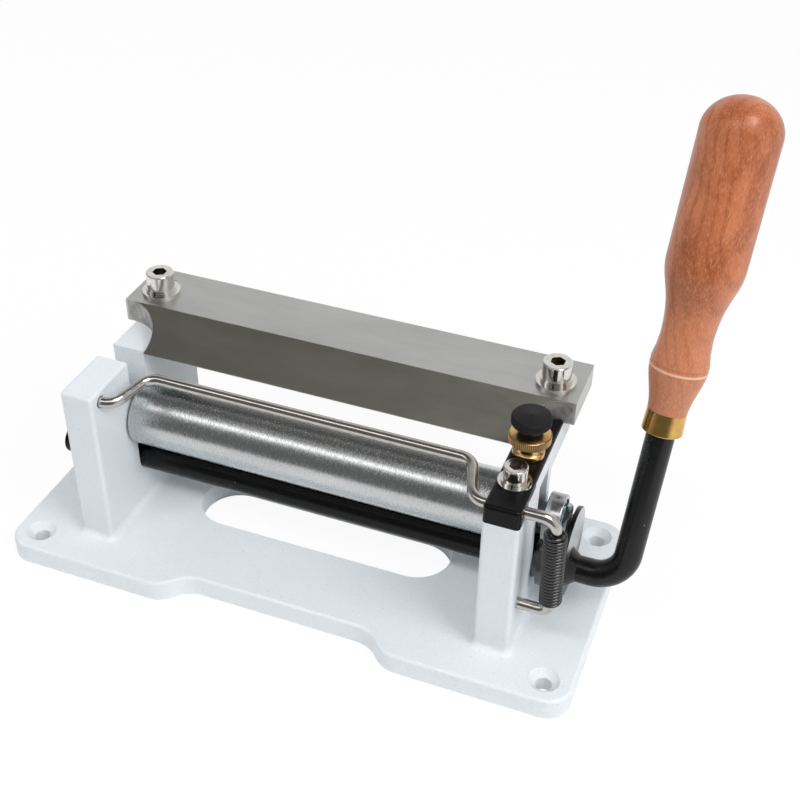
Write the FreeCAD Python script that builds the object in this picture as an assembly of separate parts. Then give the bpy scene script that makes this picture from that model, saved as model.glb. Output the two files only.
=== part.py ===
import FreeCAD, Part
import math
import os

# Leather splitting machine, hand lever type. All sizes are in millimetres.
# The origin is the centre of the four foot holes, on the underside of the base.
# +X points to the lever's side, +Y to the back, +Z up.

V = FreeCAD.Vector
X_DIR = V(1, 0, 0)
Y_DIR = V(0, 1, 0)
Z_DIR = V(0, 0, 1)

# Fits that several pieces share
running_gap = 0.05
seat_gap = 0.05
cut_overrun = 1.0
thread_gap = 0.05
clearance_hole_gap = 0.4
hole_end_gap = 0.8

# Feed roller and its axle
roller_r = 15.0
roller_length = 175.5
roller_bore_r = 7.0
roller_edge_r = 0.8
roller_end_gap = 1.0
axle_r = 4.0
block_length = 11.8
block_half_height = 6.3
spacer_r = 6.0
spacer_wall_gap = 3.0

# Ball bearings, all of one standard size
bearing_r = 11.0
bearing_width = 7.0
bearing_outer_wall = 2.0
bearing_inner_wall = 2.1
bearing_lip = 0.9
bearing_lip_gap = 0.2

# Axle nuts
nut_flats = 14.0
nut_thickness = 2.6

# Room between the roller and the blade
throat_open = 14.0
throat_closed = 0.6

# Lever shaft, its cams and the hub
shaft_r = 7.0
journal_r = 5.5
shaft_end_gap = 0.4
shaft_to_axle = 25.4
cam_width = 7.4
cam_boss_r = 8.5
cam_follower_gap = 0.25
cam_back_r = 11.5
cam_low_dwell = math.radians(32)
cam_high_dwell = math.radians(24)
cam_run_out = math.radians(62)
lever_throw = math.radians(80)
cam_pin_r = 1.2
clip_r = 8.0
clip_thickness = 1.2
clip_groove_depth = 1.0
clip_end_margin = 1.6
hub_r = 20.5
hub_offset_y = 4.75
hub_offset_z = 4.2
hub_thickness = 2.1
hub_sleeve_r = 8.5
hub_edge_r = 0.4
hub_nut_gap = 0.3
shaft_height = 24.3

# Lever rod and handle
rod_r = 6.0
rod_reach = 25.5
rod_bend_r = 14.0
lean_back = math.radians(15)
splay_out = math.radians(3.03)
weld_r = 9.0
weld_length = 4.0
ferrule_start = 72.2
ferrule_length = 9.6
ferrule_wall = 0.8
ferrule_r = 8.6
ferrule_top_r = 8.15
ferrule_edge_r = 0.6
grip_length = 127.15
grip_body_r = 15.7
rod_tang_length = 55.0

# Outline of the grip: shares of its length above the ferrule, and of its body radius
grip_flare_shares = ((0.0, 0.519), (0.0244, 0.541), (0.0516, 0.586), (0.0787, 0.643), (0.106, 0.701), (0.133, 0.742),
                     (0.1525, 0.758))
grip_crease_share = (0.161, 0.737)
grip_waist_shares = ((0.164, 0.755), (0.1757, 0.748), (0.195, 0.713), (0.217, 0.688), (0.257, 0.666), (0.288, 0.675),
                     (0.341, 0.723), (0.392, 0.822), (0.441, 0.943), (0.466, 0.984), (0.49, 1.0))
grip_dome_shares = ((0.89, 1.0), (0.915, 0.974), (0.94, 0.891), (0.962, 0.756), (0.985, 0.504), (0.996, 0.267),
                    (1.0, 0.0))

# Socket head cap screws: M8 on the blade, M6 on the plate
m8_r = 4.0
m8_head_r = 6.5
m8_head_height = 8.0
m8_socket = 6.0
m8_socket_depth = 4.0
m8_washer_r = 9.0
m8_washer_thickness = 1.6
m8_lock_washer_r = 7.1
m8_lock_washer_thickness = 1.4
m6_r = 3.0
m6_head_r = 5.0
m6_head_height = 6.0
m6_socket = 5.0
m6_socket_depth = 3.0
m6_depth = 20.0
m6_washer_r = 7.1
m6_washer_thickness = 1.2
m6_lock_washer_r = 5.9
m6_lock_washer_thickness = 1.3
head_edge_r = 0.6

# Adjusting screw with its knob and lock nut
adjust_r = 4.0
knob_r = 8.4
knob_height = 4.2
knob_lift = 4.7
knob_edge_r = 0.5
knob_cone_height = 0.7
knurl_count = 40
nut_flange_r = 6.85
nut_flange_height = 3.2
nut_neck_r = 5.9
nut_neck_height = 4.0
nut_ring_r = 9.0
nut_ring_height = 3.9
nut_cone_height = 1.4
nut_cone_r = 5.0
nut_knurl_depth = 0.35
adjust_stop_gap = 0.4
screw_nut_gap = 3.4

# Wire guard over the roller, its spring and the spring's anchor
wire_r = 2.5
wire_bend_r = 4.5
guard_bend_r = 7.0
wire_exit_bend_r = 6.0
guard_front_room = 7.0
guard_screw_spacing = 11.0
guard_pivot_drop = 2.5
guard_foot_inset = 6.0
guard_span_inset = 13.0
guard_span_ahead = 9.7
guard_tail_depth = 11.0
guard_hole_gap = 0.08
guard_post_gap = 0.4
stub_reach = 13.2
stub_length = 9.0
anchor_height = 24.0
anchor_depth = 11.0
anchor_behind = 1.5
anchor_out = 0.9
spring_coil_r = 4.25
spring_wire_r = 0.64
spring_turns = 22
spring_taper_turns = 1.5
spring_grip_gap = 0.2
spring_top_inset = 0.3
spring_base_inset = 0.6

# Black screw in the left upright's outer face
side_screw_room = 8.0
side_screw_drop = 28.2
side_screw_head_r = 6.6
side_screw_head_height = 3.0
side_screw_depth = 11.0
side_socket = 4.0
side_socket_depth = 2.0

# Uprights of the casting, sized by what they hold
upright_width = 15.75
upright_corner_r = 1.8
upright_top_r = 1.5
upright_foot_r = 3.5
front_post_rise = 3.0
rear_post_room = 12.0
slot_width = 14.1
slot_wall = 3.7
slot_roof_gap = 1.0
relief_room = 12.5
relief_depth = 8.0
relief_skin = 1.7
blade_reach = 40.5

# Plate over the right upright
plate_thickness = 2.0
plate_step_depth = 2.0
plate_step_gap = 4.7
plate_lip_depth = 7.0
plate_lip_wall = 2.5
plate_edge_r = 1.6
plate_blade_gap = 0.8

# Blade, sized by where its screws stand
blade_thickness = 11.2
blade_end_room = 12.4
blade_back_room = 18.7
blade_land_ahead = 12.4
blade_edge_ahead = 35.0
blade_edge_land = 0.35
blade_screw_length = 10.5
scallop_r = 18.6
scallop_out = 9.4
blade_slot_half = 4.4
blade_slot_front_travel = 2.4
blade_slot_rear_travel = 7.0

# Base plate of the casting, sized by the uprights that stand on it
base_thickness = 10.3
base_end_room = 31.0
base_front_room = 18.75
base_rear_room = 8.75
base_corner_r = 11.0
base_edge_r = 1.5
notch_floor_length = 76.0
notch_slope_length = 22.5
notch_depth = 10.7
window_length = 127.0
window_width = 33.5
window_behind_slot = 7.7
foot_end_room = 12.5
foot_side_room = 11.75
foot_hole_r = 3.6
foot_sink_r = 6.8
foot_sink_depth = 3.2

# Places along X that follow
inner_x = roller_length / 2 + roller_end_gap
outer_x = inner_x + upright_width
post_x = (inner_x + outer_x) / 2
follower_start_x = outer_x + spacer_wall_gap
bearing_end_x = follower_start_x + bearing_width
cam_start_x = follower_start_x - (cam_width - bearing_width) / 2
axle_end_x = bearing_end_x + nut_thickness + seat_gap + seat_gap
hub_start_x = axle_end_x + hub_nut_gap
rod_corner_x = hub_start_x + rod_reach
stub_x = outer_x + stub_reach
anchor_x = stub_x + anchor_out
base_length = 2 * (outer_x + base_end_room)
foot_pitch_x = base_length - 2 * foot_end_room
blade_length = 2 * (post_x + blade_end_room)
scallop_x = post_x + scallop_out

# Places along Y that follow: the uprights' depth is what the guard, the screws and the slot need
slot_to_plate_screw = nut_ring_r + screw_nut_gap + m6_washer_r
slot_to_front = slot_to_plate_screw + guard_screw_spacing + guard_front_room
slot_to_rear = blade_reach + rear_post_room
base_depth = base_front_room + slot_to_front + slot_to_rear + base_rear_room
foot_pitch_y = base_depth - 2 * foot_side_room
upright_front_y = base_front_room - base_depth / 2
upright_rear_y = base_depth / 2 - base_rear_room
slot_y = upright_front_y + slot_to_front
guard_pivot_y = upright_front_y + guard_front_room
anchor_y = guard_pivot_y + anchor_behind
guard_span_y = slot_y - guard_span_ahead
plate_screw_y = slot_y - slot_to_plate_screw
plate_step_y = plate_screw_y + plate_step_gap
plate_lip_y = guard_pivot_y + wire_r + plate_lip_wall
side_screw_y = upright_front_y + side_screw_room
relief_y = slot_y + relief_room
blade_screw_y = slot_y + blade_reach
blade_back_y = blade_screw_y + blade_back_room
blade_land_y = blade_screw_y - blade_land_ahead
blade_edge_y = blade_screw_y - blade_edge_ahead
scallop_y = blade_land_y - scallop_r
window_y = slot_y + window_behind_slot

# Places along Z that follow
shaft_z = base_thickness + shaft_height
axle_open_z = shaft_z + shaft_to_axle
seat_z = axle_open_z + roller_r + throat_open
axle_closed_z = seat_z - throat_closed - roller_r
roller_lift = axle_closed_z - axle_open_z
front_post_top_z = seat_z + front_post_rise
relief_top_z = seat_z - blade_screw_length - hole_end_gap - relief_skin
slot_roof_z = axle_closed_z + spacer_r + slot_roof_gap
plate_top_z = seat_z + plate_thickness
plate_step_z = seat_z - plate_step_depth
plate_lip_z = seat_z - plate_lip_depth
blade_top_z = seat_z + blade_thickness
adjust_tip_z = axle_closed_z + block_half_height + adjust_stop_gap
guard_pivot_z = seat_z - guard_pivot_drop
guard_span_z = seat_z
anchor_z = base_thickness + anchor_height
side_screw_z = seat_z - side_screw_drop
spring_top_z = guard_pivot_z - wire_exit_bend_r - spring_top_inset
spring_base_z = anchor_z + wire_bend_r + spring_base_inset
spring_grip_r = wire_r + spring_grip_gap + spring_wire_r
bearing_bore_r = axle_r + running_gap
sides = (-1, 1)


def block(x0, x1, y0, y1, z0, z1):
    return Part.makeBox(x1 - x0, y1 - y0, z1 - z0, V(x0, y0, z0))


def rod(radius, length, start, direction):
    return Part.makeCylinder(radius, length, start, direction)


def rod_x(radius, x0, x1, y, z):
    return rod(radius, abs(x1 - x0), V(min(x0, x1), y, z), X_DIR)


def rod_z(radius, x, y, z0, z1):
    return rod(radius, z1 - z0, V(x, y, z0), Z_DIR)


def ring_x(outer, inner, x0, x1, y, z):
    return rod_x(outer, x0, x1, y, z).cut(rod_x(inner, x0, x1, y, z))


def ring_z(outer, inner, x, y, z0, z1):
    return rod_z(outer, x, y, z0, z1).cut(rod_z(inner, x, y, z0, z1))


def extrude(outline, offset):
    return Part.Face(outline).extrude(offset)


def polygon(points):
    return Part.makePolygon(list(points) + [points[0]])


def mirror_x(shape):
    return shape.mirror(V(0, 0, 0), X_DIR)


def both_sides(shape):
    return Part.makeCompound([mirror_x(shape), shape])


def line(a, b):
    return Part.LineSegment(a, b).toShape()


def arc(a, middle, b):
    return Part.Arc(a, middle, b).toShape()


def hexagon(across_flats, centre, direction, length):
    """Six-sided prism that starts at centre and runs along direction."""
    corner_r = across_flats / math.sqrt(3)
    side = V(0, 0, 1) if abs(direction.z) < abs(direction.x) else V(0, 1, 0)
    other = direction.cross(side)
    points = []
    for k in range(6):
        turn = math.radians(60 * k)
        points.append(centre + side * corner_r * math.cos(turn) + other * corner_r * math.sin(turn))
    return extrude(polygon(points), direction * length)


def rounded_path(points, radii):
    """Straight runs through the points, joined by a tangent arc of its own radius at each corner."""
    edges = []
    start = points[0]
    for before, corner, after, radius in zip(points, points[1:], points[2:], radii):
        back = (before - corner).normalize()
        ahead = (after - corner).normalize()
        half = back.getAngle(ahead) / 2
        reach = radius / math.tan(half)
        centre = corner + (back + ahead).normalize() * (radius / math.sin(half))
        entry = corner + back * reach
        leave = corner + ahead * reach
        middle = centre + (corner - centre).normalize() * radius
        edges.append(line(start, entry))
        edges.append(arc(entry, middle, leave))
        start = leave
    edges.append(line(start, points[-1]))
    return Part.Wire(edges)


def tube_along(path, radius, start, direction):
    circle = Part.Wire([Part.Circle(start, direction, radius).toShape()])
    return path.makePipeShell([circle], True, False)


def lathe(profile, origin, axis):
    """Turned solid: profile holds (distance along axis, radius) pairs of a closed outline."""
    side = axis.cross(X_DIR).normalize()
    points = [origin + axis * along + side * radius for along, radius in profile]
    return Part.Face(polygon(points)).revolve(origin, axis, 360)


# Casting

def base_outline():
    """Plate outline with round corners and the shallow notch in its front edge."""
    half_x = base_length / 2
    half_y = base_depth / 2
    r = base_corner_r
    slant = r * (1 - math.sqrt(0.5))
    floor = notch_floor_length / 2
    mouth = floor + notch_slope_length
    mid_x = (mouth + floor) / 2
    mid_y = -half_y + notch_depth / 2
    curve_r = (notch_slope_length ** 2 + notch_depth ** 2) / (4 * notch_depth)
    half_turn = math.asin(notch_slope_length / 2 / curve_r) / 2
    bow_x = curve_r * math.sin(half_turn)
    bow_y = curve_r * (1 - math.cos(half_turn))
    edges = [
        line(V(half_x, -half_y + r, 0), V(half_x, half_y - r, 0)),
        arc(V(half_x, half_y - r, 0), V(half_x - slant, half_y - slant, 0), V(half_x - r, half_y, 0)),
        line(V(half_x - r, half_y, 0), V(-half_x + r, half_y, 0)),
        arc(V(-half_x + r, half_y, 0), V(-half_x + slant, half_y - slant, 0), V(-half_x, half_y - r, 0)),
        line(V(-half_x, half_y - r, 0), V(-half_x, -half_y + r, 0)),
        arc(V(-half_x, -half_y + r, 0), V(-half_x + slant, -half_y + slant, 0), V(-half_x + r, -half_y, 0)),
        line(V(-half_x + r, -half_y, 0), V(-mouth, -half_y, 0)),
        arc(V(-mouth, -half_y, 0), V(-mouth + bow_x, -half_y + bow_y, 0), V(-mid_x, mid_y, 0)),
        arc(V(-mid_x, mid_y, 0), V(-floor - bow_x, -half_y + notch_depth - bow_y, 0),
            V(-floor, -half_y + notch_depth, 0)),
        line(V(-floor, -half_y + notch_depth, 0), V(floor, -half_y + notch_depth, 0)),
        arc(V(floor, -half_y + notch_depth, 0), V(floor + bow_x, -half_y + notch_depth - bow_y, 0),
            V(mid_x, mid_y, 0)),
        arc(V(mid_x, mid_y, 0), V(mouth - bow_x, -half_y + bow_y, 0), V(mouth, -half_y, 0)),
        line(V(mouth, -half_y, 0), V(half_x - r, -half_y, 0)),
        arc(V(half_x - r, -half_y, 0), V(half_x - slant, -half_y + slant, 0), V(half_x, -half_y + r, 0)),
    ]
    return Part.Wire(edges)


def base_window():
    """Obround opening through the plate, below the roller."""
    r = window_width / 2
    reach = window_length / 2 - r
    z0 = -cut_overrun
    z1 = base_thickness + cut_overrun
    middle = block(-reach, reach, window_y - r, window_y + r, z0, z1)
    return middle.fuse([rod_z(r, -reach, window_y, z0, z1), rod_z(r, reach, window_y, z0, z1)])


def base_plate():
    plate = extrude(base_outline(), Z_DIR * base_thickness)
    top_edges = [e for e in plate.Edges if e.BoundBox.ZMin > base_thickness - base_edge_r]
    plate = plate.makeFillet(base_edge_r, top_edges)
    holes = []
    for x in (-foot_pitch_x / 2, foot_pitch_x / 2):
        for y in (-foot_pitch_y / 2, foot_pitch_y / 2):
            holes.append(rod_z(foot_hole_r, x, y, -cut_overrun, base_thickness + cut_overrun))
            holes.append(Part.makeCone(foot_hole_r, foot_sink_r, foot_sink_depth,
                                       V(x, y, base_thickness - foot_sink_depth), Z_DIR))
    return plate.cut(holes + [base_window()])


def upright_profile(steps):
    """Side view of one upright: steps lists the level parts of its top from the rear, as (front end, height)."""
    points = [V(inner_x, upright_front_y, 0), V(inner_x, upright_rear_y, 0)]
    rear = upright_rear_y
    for front, top in steps:
        points += [V(inner_x, rear, top), V(inner_x, front, top)]
        rear = front
    return polygon(points)


def softened(upright, front_top):
    """Rounds the front post's upright corners and the edges round its top."""
    corners = [e for e in upright.Edges
               if e.BoundBox.YMax < upright_front_y + cut_overrun and e.BoundBox.ZLength > upright_width]
    upright = upright.makeFillet(upright_corner_r, corners)
    tops = [e for e in upright.Edges
            if e.BoundBox.ZMin > front_top - upright_top_r and e.BoundBox.YMin < upright_front_y + upright_corner_r]
    return upright.makeFillet(upright_top_r, tops)


def slot_cut(open_width, z_top):
    """U-shaped guide slot, round at the bottom, open over the given width from the inner face."""
    half = slot_width / 2
    x0 = inner_x - cut_overrun
    x1 = inner_x + open_width
    well = block(x0, x1, slot_y - half, slot_y + half, shaft_z, z_top)
    return well.fuse(rod_x(half, x0, x1, slot_y, shaft_z))


def outer_relief():
    """Step in the upright's outer face behind the slot, clear of the cam and the lever."""
    return block(outer_x - relief_depth, outer_x + cut_overrun, relief_y, upright_rear_y + cut_overrun,
                 base_thickness, relief_top_z)


def left_upright():
    steps = [(slot_y, seat_z), (upright_front_y, front_post_top_z)]
    body = extrude(upright_profile(steps), X_DIR * upright_width)
    body = softened(body, front_post_top_z)
    body = body.cut([slot_cut(upright_width + cut_overrun, front_post_top_z + cut_overrun), outer_relief()])
    screw_hole = rod_z(m8_r + thread_gap, post_x, blade_screw_y, seat_z - blade_screw_length - hole_end_gap,
                       seat_z + cut_overrun)
    pivot_hole = rod_x(wire_r + guard_post_gap, inner_x - cut_overrun, inner_x + guard_tail_depth + seat_gap,
                       guard_pivot_y, guard_pivot_z)
    side_hole = rod_x(m8_r + thread_gap, outer_x - side_screw_depth - seat_gap, outer_x + cut_overrun,
                      side_screw_y, side_screw_z)
    return mirror_x(body.cut([screw_hole, pivot_hole, side_hole]))


def right_upright():
    steps = [(plate_step_y, seat_z), (plate_lip_y, plate_step_z), (upright_front_y, plate_lip_z)]
    body = extrude(upright_profile(steps), X_DIR * upright_width)
    corners = [e for e in body.Edges
               if e.BoundBox.YMax < upright_front_y + cut_overrun and e.BoundBox.ZLength > upright_width]
    body = body.makeFillet(upright_corner_r, corners)
    top = seat_z + cut_overrun
    body = body.cut([slot_cut(upright_width + cut_overrun, slot_roof_z), slot_cut(upright_width - slot_wall, top),
                     outer_relief()])
    blade_hole = rod_z(m8_r + thread_gap, post_x, blade_screw_y, seat_z - blade_screw_length - hole_end_gap, top)
    plate_hole = rod_z(m6_r + thread_gap, post_x, plate_screw_y, seat_z - m6_depth - hole_end_gap, top)
    anchor_hole = rod_x(wire_r + thread_gap, outer_x - anchor_depth - seat_gap, outer_x + cut_overrun,
                        anchor_y, anchor_z)
    return body.cut([blade_hole, plate_hole, anchor_hole])


def base_casting():
    casting = base_plate().fuse([left_upright(), right_upright()]).removeSplitter()
    foot_edges = []
    for e in casting.Edges:
        box = e.BoundBox
        level = abs(box.ZMin - base_thickness) < seat_gap and abs(box.ZMax - base_thickness) < seat_gap
        in_x = abs(e.CenterOfMass.x) > inner_x - seat_gap and abs(e.CenterOfMass.x) < outer_x + seat_gap
        in_y = box.YMin > upright_front_y - seat_gap and box.YMax < upright_rear_y + seat_gap
        if level and in_x and in_y:
            foot_edges.append(e)
    return casting.makeFillet(upright_foot_r, foot_edges)


# Plate, screws and washers that stay with the casting

def adjuster_plate():
    """Black plate: thin at the rear, where it follows the blade's curved cut, with a lip over the guard wire in front."""
    profile = polygon([V(inner_x, upright_front_y, plate_lip_z), V(inner_x, plate_lip_y, plate_lip_z),
                       V(inner_x, plate_lip_y, plate_step_z), V(inner_x, plate_step_y, plate_step_z),
                       V(inner_x, plate_step_y, seat_z), V(inner_x, blade_land_y, seat_z),
                       V(inner_x, blade_land_y, plate_top_z), V(inner_x, upright_front_y, plate_top_z)])
    plate = extrude(profile, X_DIR * upright_width)
    corners = [e for e in plate.Edges
               if e.BoundBox.YMax < upright_front_y + cut_overrun and e.BoundBox.ZLength > plate_thickness]
    plate = plate.makeFillet(upright_corner_r, corners)
    front_edge = [e for e in plate.Edges
                  if e.BoundBox.ZMin > plate_top_z - plate_edge_r and e.BoundBox.YMax < upright_front_y + seat_gap]
    plate = plate.makeFillet(plate_edge_r, front_edge)
    over = cut_overrun
    z0 = plate_lip_z - over
    z1 = plate_top_z + over
    keep = block(inner_x - over, outer_x + over, upright_front_y - over, scallop_y, z0, z1)
    keep = keep.fuse(rod_z(scallop_r - plate_blade_gap, scallop_x, scallop_y, z0, z1))
    groove = block(inner_x - over, outer_x + over, guard_pivot_y - wire_r - guard_hole_gap,
                   guard_pivot_y + wire_r + guard_hole_gap, z0, guard_pivot_z)
    groove = groove.fuse(rod_x(wire_r + guard_hole_gap, inner_x - over, outer_x + over, guard_pivot_y, guard_pivot_z))
    return plate.common(keep).cut([groove, rod_z(m6_r + clearance_hole_gap, post_x, plate_screw_y, z0, z1),
                                   rod_z(adjust_r + thread_gap, post_x, slot_y, z0, z1)])


def cap_screw(shank_r, head_r, head_height, socket, socket_depth, x, y, seat, tip):
    """Socket head cap screw that stands on seat and ends at tip."""
    head = rod_z(head_r, x, y, seat, seat + head_height)
    rim = [e for e in head.Edges if e.BoundBox.ZMin > seat + head_edge_r]
    head = head.makeFillet(head_edge_r, rim)
    head = head.cut(hexagon(socket, V(x, y, seat + head_height - socket_depth), Z_DIR, socket_depth + cut_overrun))
    return head.fuse(rod_z(shank_r, x, y, tip, seat)).removeSplitter()


def split_washer(outer_r, shank_r, thickness, x, y, z0):
    """Spring lock washer with its cut."""
    ring = ring_z(outer_r, shank_r + clearance_hole_gap, x, y, z0, z0 + thickness)
    gap = block(x, x + thickness / 2, y - outer_r - cut_overrun, y - shank_r, z0 - cut_overrun,
                z0 + thickness + cut_overrun)
    return ring.cut(gap)


def blade_fasteners():
    washer_top = blade_top_z + m8_washer_thickness
    seat = washer_top + m8_lock_washer_thickness
    screws = []
    lock_washers = []
    washers = []
    for side in sides:
        x = side * post_x
        screws.append(cap_screw(m8_r, m8_head_r, m8_head_height, m8_socket, m8_socket_depth, x, blade_screw_y,
                                seat, seat_z - blade_screw_length))
        lock_washers.append(split_washer(m8_lock_washer_r, m8_r, m8_lock_washer_thickness, x, blade_screw_y,
                                         washer_top))
        washers.append(ring_z(m8_washer_r, m8_r + clearance_hole_gap, x, blade_screw_y, blade_top_z, washer_top))
    return Part.makeCompound(screws), Part.makeCompound(lock_washers), Part.makeCompound(washers)


def side_screw():
    head = rod_x(side_screw_head_r, -outer_x - side_screw_head_height, -outer_x, side_screw_y, side_screw_z)
    rim = [e for e in head.Edges if e.BoundBox.XMax < -outer_x - side_screw_head_height + head_edge_r]
    head = head.makeFillet(head_edge_r, rim)
    socket_start = V(-outer_x - side_screw_head_height + side_socket_depth, side_screw_y, side_screw_z)
    head = head.cut(hexagon(side_socket, socket_start, -X_DIR, side_socket_depth + cut_overrun))
    shank = rod_x(m8_r, -outer_x, -outer_x + side_screw_depth, side_screw_y, side_screw_z)
    return head.fuse(shank).removeSplitter()


# Blade

def splitting_blade():
    """Flat bar with a long front bevel, a curved cut at both ends of it and two slots."""
    half = blade_length / 2
    profile = polygon([V(-half, blade_edge_y, seat_z), V(-half, blade_back_y, seat_z),
                       V(-half, blade_back_y, blade_top_z), V(-half, blade_land_y, blade_top_z),
                       V(-half, blade_edge_y, seat_z + blade_edge_land)])
    blade = extrude(profile, X_DIR * blade_length)
    cuts = []
    z0 = seat_z - cut_overrun
    z1 = blade_top_z + cut_overrun
    for side in sides:
        centre = side * scallop_x
        end = side * (half + cut_overrun)
        cuts.append(rod_z(scallop_r, centre, scallop_y, z0, z1))
        cuts.append(block(min(centre, end), max(centre, end), blade_edge_y - cut_overrun, scallop_y + scallop_r, z0, z1))
        screw_x = side * post_x
        front = blade_screw_y - blade_slot_front_travel
        rear = blade_screw_y + blade_slot_rear_travel
        cuts.append(block(screw_x - blade_slot_half, screw_x + blade_slot_half, front, rear, z0, z1))
        cuts.append(rod_z(blade_slot_half, screw_x, front, z0, z1))
        cuts.append(rod_z(blade_slot_half, screw_x, rear, z0, z1))
    return blade.cut(cuts)


# Roller, its axle and what rides with it

def axle_block():
    """Sliding block in the slot that carries the axle."""
    half = slot_width / 2 - running_gap
    body = block(inner_x + seat_gap, inner_x + block_length, slot_y - half, slot_y + half,
                 axle_open_z - block_half_height, axle_open_z + block_half_height)
    return body.cut(rod_x(axle_r + running_gap, inner_x - cut_overrun, outer_x, slot_y, axle_open_z))


def axle_spacer():
    start = inner_x + block_length + seat_gap
    return ring_x(spacer_r, axle_r + running_gap, start, follower_start_x - seat_gap, slot_y, axle_open_z)


def axle_nut():
    nut = hexagon(nut_flats, V(bearing_end_x + seat_gap, slot_y, axle_open_z), X_DIR, nut_thickness)
    rim = Part.makeCone(nut_flats / 2 + nut_thickness, nut_flats / 2, nut_thickness,
                        V(bearing_end_x + seat_gap, slot_y, axle_open_z), X_DIR)
    return nut.common(rim).cut(rod_x(axle_r + running_gap, follower_start_x, axle_end_x, slot_y, axle_open_z))


def roller_axle():
    return rod_x(axle_r, -axle_end_x, axle_end_x, slot_y, axle_open_z)


def outer_ring(x0, x1):
    """Outer ring of a shielded ball bearing: a wall with a shield lip at each face."""
    lip_inner_r = axle_r + bearing_inner_wall + bearing_lip_gap
    ring = ring_x(bearing_r, bearing_r - bearing_outer_wall, x0, x1, slot_y, axle_open_z)
    lips = [ring_x(bearing_r - bearing_outer_wall, lip_inner_r, x0 + bearing_lip, x0 + 2 * bearing_lip, slot_y,
                   axle_open_z),
            ring_x(bearing_r - bearing_outer_wall, lip_inner_r, x1 - 2 * bearing_lip, x1 - bearing_lip, slot_y,
                   axle_open_z)]
    return ring.fuse(lips).removeSplitter()


def inner_ring(x0, x1):
    return ring_x(axle_r + bearing_inner_wall, bearing_bore_r, x0, x1, slot_y, axle_open_z)


def feed_roller():
    """Ground steel roller with a counterbore at each end for its bearing."""
    half = roller_length / 2
    body = rod_x(roller_r, -half, half, slot_y, axle_open_z)
    rims = [e for e in body.Edges if e.BoundBox.XLength < seat_gap]
    body = body.makeFillet(roller_edge_r, rims)
    seats = [rod_x(bearing_r + seat_gap, side * (half - bearing_width - bearing_lip), side * (half + cut_overrun),
                   slot_y, axle_open_z) for side in sides]
    return body.cut(seats + [rod_x(roller_bore_r, -half, half, slot_y, axle_open_z)])


def roller_bearing_span():
    end = roller_length / 2 - bearing_lip
    return end - bearing_width, end


# Lever shaft, cams and lever

def shaft_bearing():
    """Block in the round bottom of the slot that carries the lever shaft's journal."""
    half = slot_width / 2 - seat_gap
    top = shaft_z + journal_r + bearing_outer_wall
    body = block(inner_x, outer_x, slot_y - half, slot_y + half, shaft_z, top)
    body = body.fuse(rod_x(half, inner_x, outer_x, slot_y, shaft_z)).removeSplitter()
    return body.cut(rod_x(journal_r + running_gap, inner_x - cut_overrun, outer_x + cut_overrun, slot_y, shaft_z))


def cam_shaft():
    """Black bar between the uprights, stepped down to a journal at each end."""
    left_end = -(cam_start_x + cam_width + clip_thickness + clip_end_margin + seat_gap)
    right_end = hub_start_x
    bar = rod_x(shaft_r, -inner_x + shaft_end_gap, inner_x - shaft_end_gap, slot_y, shaft_z)
    journal = rod_x(journal_r, left_end, right_end, slot_y, shaft_z)
    groove_start = -(cam_start_x + cam_width + seat_gap)
    groove = ring_x(journal_r + cut_overrun, journal_r - clip_groove_depth, groove_start - clip_thickness - seat_gap,
                    groove_start, slot_y, shaft_z)
    pins = [rod(cam_pin_r, shaft_r * 2, V(side * cam_pin_x(), slot_y, shaft_z - shaft_r), Z_DIR) for side in sides]
    return bar.fuse(journal).removeSplitter().cut([groove] + pins)


def cam_pin_x():
    return (outer_x + seat_gap + cam_start_x) / 2


def cam_point(radius, turn, x):
    return V(x, slot_y + radius * math.sin(turn), shaft_z + radius * math.cos(turn))


def cam_outline(x):
    """Spiral cam: the follower's distance grows evenly with the lever's turn, from a hollow seat at rest."""
    start_distance = axle_open_z - shaft_z
    follower = V(x, slot_y, axle_open_z)
    offset = bearing_r + cam_follower_gap
    rise_rate = roller_lift / lever_throw
    points = []
    steps = 10
    for k in range(steps + 1):
        turn = lever_throw * k / steps
        distance = start_distance + rise_rate * turn
        tangent_y = rise_rate * math.sin(turn) + distance * math.cos(turn)
        tangent_z = rise_rate * math.cos(turn) - distance * math.sin(turn)
        length = math.hypot(tangent_y, tangent_z)
        y = distance * math.sin(turn) + offset * tangent_z / length
        z = distance * math.cos(turn) - offset * tangent_y / length
        points.append(V(x, slot_y + y, shaft_z + z))
    spiral = Part.BSplineCurve()
    spiral.interpolate(points)
    centre = V(x, slot_y, shaft_z)
    high_turn = math.atan2(points[-1].y - slot_y, points[-1].z - shaft_z)
    low_r = start_distance - offset
    high_r = (points[-1] - centre).Length
    low_start = cam_point(low_r, 0, x)
    low_end = cam_point(low_r, -cam_low_dwell, x)
    high_end = cam_point(high_r, high_turn + cam_high_dwell, x)
    back_start = high_turn + cam_high_dwell + cam_run_out
    back_end = 2 * math.pi - 2 * cam_low_dwell
    back_middle = (back_start + back_end) / 2
    seat_middle = follower + ((low_start + points[0]) * 0.5 - follower).normalize() * offset
    edges = [spiral.toShape(),
             arc(points[-1], cam_point(high_r, high_turn + cam_high_dwell / 2, x), high_end),
             line(high_end, cam_point(cam_back_r, back_start, x)),
             arc(cam_point(cam_back_r, back_start, x), cam_point(cam_back_r, back_middle, x),
                 cam_point(cam_back_r, back_end, x)),
             line(cam_point(cam_back_r, back_end, x), low_end),
             arc(low_end, cam_point(low_r, -cam_low_dwell / 2, x), low_start),
             arc(low_start, seat_middle, points[0])]
    return Part.Wire(edges)


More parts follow.
